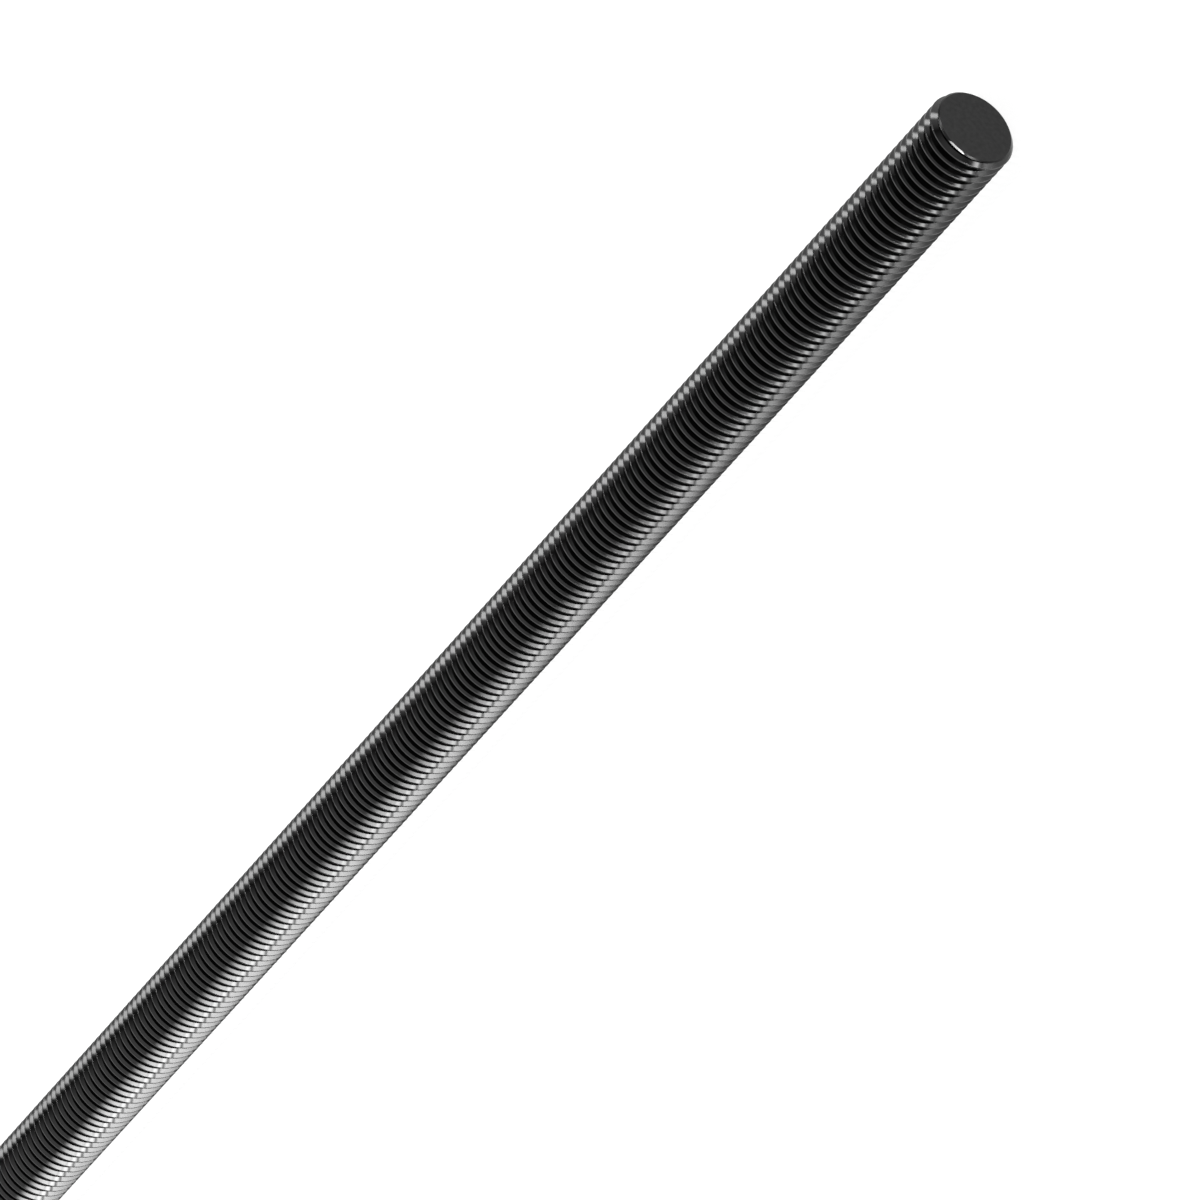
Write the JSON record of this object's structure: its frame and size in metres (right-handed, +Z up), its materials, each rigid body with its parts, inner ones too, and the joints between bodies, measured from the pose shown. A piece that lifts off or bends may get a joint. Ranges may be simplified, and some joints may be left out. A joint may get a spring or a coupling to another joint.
{
  "type": "threaded rod",
  "caption": "straight steel bar threaded over its whole length, with a chamfer at each end",
  "frame": {"origin": "under the middle of the rod's length, on the surface that it lies on", "axes": "+X runs along the rod to the end that faces the camera, +Z is up"},
  "size_m": [0.5, 0.02, 0.02],
  "materials": {
    "blackened_steel": "satin"
  },
  "bodies": {
    "root": {"threaded_rod": "blackened_steel"}
  },
  "joints": []
}
